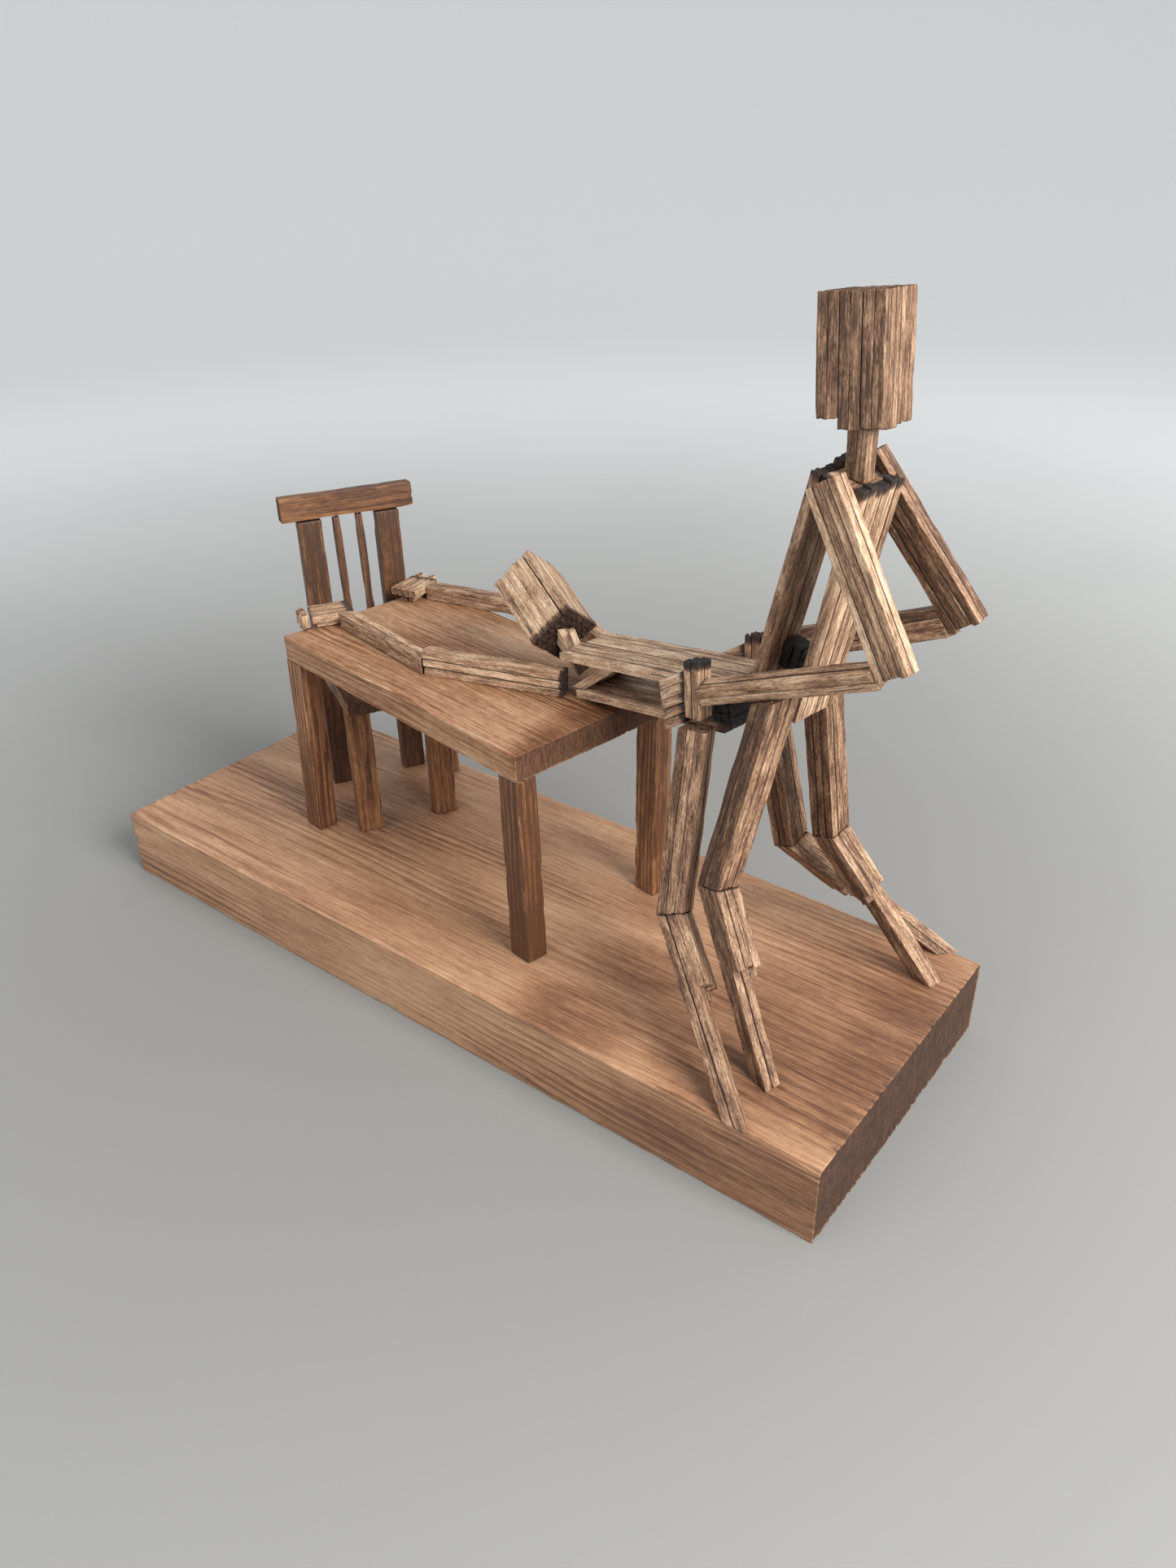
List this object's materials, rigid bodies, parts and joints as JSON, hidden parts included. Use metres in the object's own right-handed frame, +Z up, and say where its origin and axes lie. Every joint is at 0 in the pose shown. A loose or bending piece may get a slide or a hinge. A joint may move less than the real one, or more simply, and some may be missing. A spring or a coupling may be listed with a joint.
{
  "type": "matchstick figure sculpture",
  "caption": "Wooden diorama on a board: a table, a chair and stick figures glued from square matchsticks, one standing and one leaning over the table",
  "frame": {"origin": "centre of the underside of the base board", "axes": "+X along the board from the chair towards the standing figure, +Y away from the side seen in the picture, +Z up"},
  "size_m": [0.27, 0.0977, 0.2063],
  "materials": {
    "board_pine": "stained pine, planed faces and sawn ends",
    "table_pine": "stained pine, planed faces and sawn ends",
    "chair_wood": "dark stained wood strips",
    "match_wood": "weathered matchstick wood with dark grain",
    "charred_match": "burnt match ends"
  },
  "bodies": {
    "root": {"base_board": "board_pine", "table_top": "table_pine", "table_leg_front_left": "table_pine", "table_leg_front_right": "table_pine", "table_leg_back_right": "table_pine", "table_leg_back_left": "table_pine", "chair_seat": "chair_wood", "chair_front_leg_left": "chair_wood", "chair_front_leg_right": "chair_wood", "chair_back_post_left": "chair_wood", "chair_back_post_right": "chair_wood", "chair_spindles": "chair_wood", "chair_top_rail": "chair_wood", "standing_head": "match_wood", "standing_neck": "match_wood", "standing_shoulder_block": "charred_match", "standing_chest_panel": "match_wood", "standing_back_panel": "match_wood", "standing_hip_block": "charred_match", "standing_left_upper_arm": "match_wood", "standing_left_forearm": "match_wood", "standing_left_hand": "match_wood", "standing_right_upper_arm": "match_wood", "standing_right_forearm": "match_wood", "standing_right_hand": "match_wood", "standing_left_thigh": "match_wood", "standing_left_shin": "match_wood", "standing_left_calf": "match_wood", "standing_right_thigh": "match_wood", "standing_right_shin": "match_wood", "standing_right_calf": "match_wood", "leaning_head": "match_wood", "leaning_neck": "match_wood", "leaning_shoulder_block": "match_wood", "leaning_chest_panel": "match_wood", "leaning_back_panel": "match_wood", "leaning_torso_brace": "match_wood", "leaning_hip_block": "charred_match", "leaning_left_upper_arm": "match_wood", "leaning_left_forearm": "match_wood", "leaning_left_hand": "match_wood", "leaning_right_upper_arm": "match_wood", "leaning_right_forearm": "match_wood", "leaning_right_hand": "match_wood", "leaning_left_thigh": "match_wood", "leaning_left_shin": "match_wood", "leaning_left_calf": "match_wood", "leaning_right_thigh": "match_wood", "leaning_right_shin": "match_wood", "leaning_right_calf": "match_wood"}
  },
  "joints": []
}
